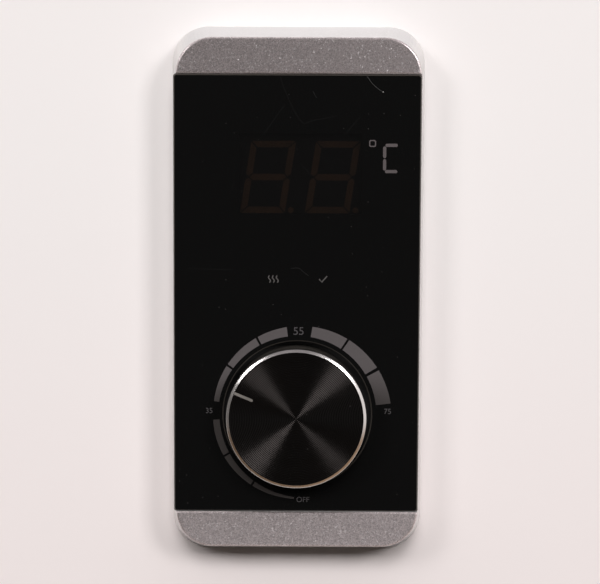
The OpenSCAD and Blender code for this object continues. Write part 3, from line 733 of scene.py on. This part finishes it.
dial_inner = 22.45
upper_start, upper_stop = 7, 171
lower_start, lower_stop = 184, 268
upper = [(7, 29), (31, 55.5), (57, 80.5), (97, 117), (118.5, 144), (145.5, 171)]
lower = [(184, 209.5), (211, 237), (238.5, 268)]
dial_ink = ink("dial_ink", tone(62, 59, 58), tone(93, 89, 90), dial_middle[1], dial_middle[1] + 15 * MM)
upper_outer = between(26.65, 23.9, upper_start, upper_stop)
lower_outer = between(23.92, 24.4, lower_start, lower_stop)
arcs = [band(a, b, lambda angle: dial_inner * MM, upper_outer) for a, b in upper]
arcs += [band(a, b, tapered, lower_outer) for a, b in lower]
flat_mark("dial_scale", arcs, dial_ink)
print("dial arcs:", len(arcs))

# %% [markdown]
# The numbers of the dial come from the built-in font. A text object is turned into a mesh,
# scaled to the height of its capitals and set down round its own middle.

# %% Dial numbers
def lettering(name, words, height, middle, material):
    """Flat text of the given height in metres, whose middle is at (x, z)."""
    curve = bpy.data.curves.new(name, "FONT")
    curve.body = words
    typed = bpy.data.objects.new(name + "_typed", curve)
    scene.collection.objects.link(typed)
    bpy.context.view_layer.update()
    mesh = bpy.data.meshes.new_from_object(typed.evaluated_get(bpy.context.evaluated_depsgraph_get()))
    bpy.data.objects.remove(typed)
    spots = [v.co.copy() for v in mesh.vertices]
    low = [min(p[i] for p in spots) for i in (0, 1)]
    high = [max(p[i] for p in spots) for i in (0, 1)]
    scale = height / (high[1] - low[1])
    for vertex in mesh.vertices:
        x = middle[0] + (vertex.co.x - (low[0] + high[0]) / 2) * scale
        z = middle[1] + (vertex.co.y - (low[1] + high[1]) / 2) * scale
        vertex.co = (x, print_y, z)
    mesh.materials.clear()
    mesh.materials.append(material)
    letters = bpy.data.objects.new(name, mesh)
    scene.collection.objects.link(letters)
    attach(letters, "panel")
    return letters


number_ink = ink("number_ink", tone(72, 70, 71), tone(86, 84, 86), -1, 1)
labels = [
    ("dial_number_35", "35", 1.5, (-25.0, 1.0)),
    ("dial_number_55", "55", 2.2, (0.26, 23.85)),
    ("dial_number_75", "75", 1.5, (25.6, 0.95)),
    ("dial_off", "OFF", 1.5, (1.7, -24.6)),
]
for name, words, height, (x, z) in labels:
    lettering(name, words, height * MM, (dial_middle[0] + x * MM, dial_middle[1] + z * MM), number_ink)
print("labels:", len(labels))

# %% [markdown]
# The unit sign is drawn like segments: a small eight-sided ring for the degree, and a C made
# of four bars with round ends. The two lamps in the middle of the panel have a sign each:
# three waves of warmth for heating, and a tick for ready.

# %% Unit sign and lamp signs
sign_ink = ink("sign_ink", tone(91, 86, 87), tone(97, 91, 92), -1, 1)


def scaled(outlines, x, z):
    """Outlines in millimetres, moved by (x, z) millimetres and turned into metres."""
    return [[((px + x) * MM, (pz + z) * MM) for px, pz in outline] for outline in outlines]


def stroke(points, width):
    """The outline of a line of even width along points, with square ends."""
    left, right = [], []
    for i, (x, z) in enumerate(points):
        (x0, z0), (x1, z1) = points[max(i - 1, 0)], points[min(i + 1, len(points) - 1)]
        length = math.hypot(x1 - x0, z1 - z0)
        nx, nz = (z0 - z1) / length * width / 2, (x1 - x0) / length * width / 2
        left.append((x + nx, z + nz))
        right.append((x - nx, z - nz))
    return left + right[::-1]


bar = 0.9
unit_x, unit_z = 24.15, 38.65
degree_side, degree_stroke, degree_cut = 1.95, 0.32, 0.45
bars = [
    rod((0.65, 3.7), (3.2, 3.7), bar),
    rod((0, 0.55), (0, 2.95), bar),
    rod((0, -2.9), (0, -0.6), bar),
    rod((0.55, -3.65), (3.15, -3.65), bar),
]
half = degree_side / 2 - degree_stroke / 2
side = half - degree_cut + degree_stroke / 2
corner = [(-half, side), (-side, half), (side, half), (half, side), (half, -side), (side, -half),
          (-side, -half), (-half, -side)]
inner_half = half - degree_stroke / 2
outer_half = half + degree_stroke / 2
inner = [(x * inner_half / half, z * inner_half / half) for x, z in corner]
outer = [(x * outer_half / half, z * outer_half / half) for x, z in corner]
degree = [[outer[i], outer[(i + 1) % 8], inner[(i + 1) % 8], inner[i]] for i in range(8)]
flat_mark("unit_sign", scaled(bars, unit_x, unit_z) + scaled(degree, 20.76, 42.85), sign_ink)

legend_z = 4.6
wave = [(0.28 * math.sin(math.tau * t / 12), -1.0 + 2.0 * t / 12) for t in range(13)]
waves = [stroke([(x + shift, z) for x, z in wave], 0.3) for shift in (-1.1, 0, 1.1)]
tick = [stroke([(-1.1, 0.0), (-0.35, -0.8), (1.15, 0.9)], 0.34)]
legend_ink = ink("legend_ink", tone(86, 84, 83), tone(92, 90, 89), -1, 1)
flat_mark("heating_sign", scaled(waves, -6.9, legend_z), legend_ink)
flat_mark("ready_sign", scaled(tick, 7.1, legend_z), legend_ink)
print("signs on the glass: unit, heating, ready")

# %% [markdown]
# A panel that has been wiped for years has hairline scratches. Each is a sliver about a tenth
# of a millimetre wide, laid along a curve through a handful of points. Most are little paler
# than the glass. The deepest one, near the top right corner, ends in a chip.

# %% Scratches
def curved(points, steps=6):
    """More points on a smooth curve through the given ones."""
    line = []
    for i in range(len(points) - 1):
        ends = [Vector(points[min(max(i + k, 0), len(points) - 1)]) for k in (-1, 0, 1, 2)]
        for t in (step / steps for step in range(steps)):
            pull = (ends[2] - ends[0]) * (t - 2 * t * t + t ** 3) + (ends[3] - ends[1]) * (t ** 3 - t * t)
            spot = ends[1] + (ends[2] - ends[1]) * (3 * t * t - 2 * t ** 3) + pull / 2
            line.append(tuple(spot))
    return line + [tuple(points[-1])]


deep = [[(19.1, 61.5), (20.0, 60.2), (21.1, 59.0), (22.3, 58.0), (23.6, 57.2)]]
short = [[(4.0, 57.3), (5.0, 55.5)], [(-2.0, 7.6), (0.2, 7.7), (1.6, 6.6), (3.0, 5.6)]]
faint = [
    [(-5.1, 61.4), (-4.3, 58.7), (-3.2, 56.2), (-1.9, 53.2), (0.1, 49.7), (1.7, 48.2)],
    [(1.4, 48.2), (4.6, 49.3), (7.7, 49.8), (10.7, 50.6)],
    [(-3.7, 53.6), (-5.5, 51.3), (-7.2, 48.8), (-8.6, 46.9), (-10.0, 45.0)],
    [(17.3, 50.3), (15.0, 47.7), (12.9, 45.1)],
    [(-17.9, 31.9), (-18.5, 30.7), (-18.6, 29.6)],
    [(1.0, 36.7), (3.4, 34.1)],
    [(-31.0, 7.5), (-24.0, 7.3), (-18.4, 7.2)],
]
scratches = [("deep", deep, 0.11, 78), ("short", short, 0.11, 44), ("faint", faint, 0.1, 32)]
for kind, lines, width, grey in scratches:
    finish = ink("scratch_" + kind, tone(grey, grey, grey), tone(grey - 6, grey - 6, grey - 6), -1, 1)
    flat_mark("scratches_" + kind, scaled([stroke(curved(line), width) for line in lines], 0, 0), finish)
chip = [polar(0.16 * MM, angle, (23.6 * MM, 57.2 * MM)) for angle in range(0, 360, 45)]
flat_mark("chip", [chip], ink("chip", tone(190, 188, 186), tone(180, 178, 176), -1, 1))
print("scratches:", sum(len(lines) for kind, lines, width, grey in scratches))

# %% [markdown]
# ## Close
# #
# # The last line brings the scene up to date.

# %% Close
bpy.context.view_layer.update()
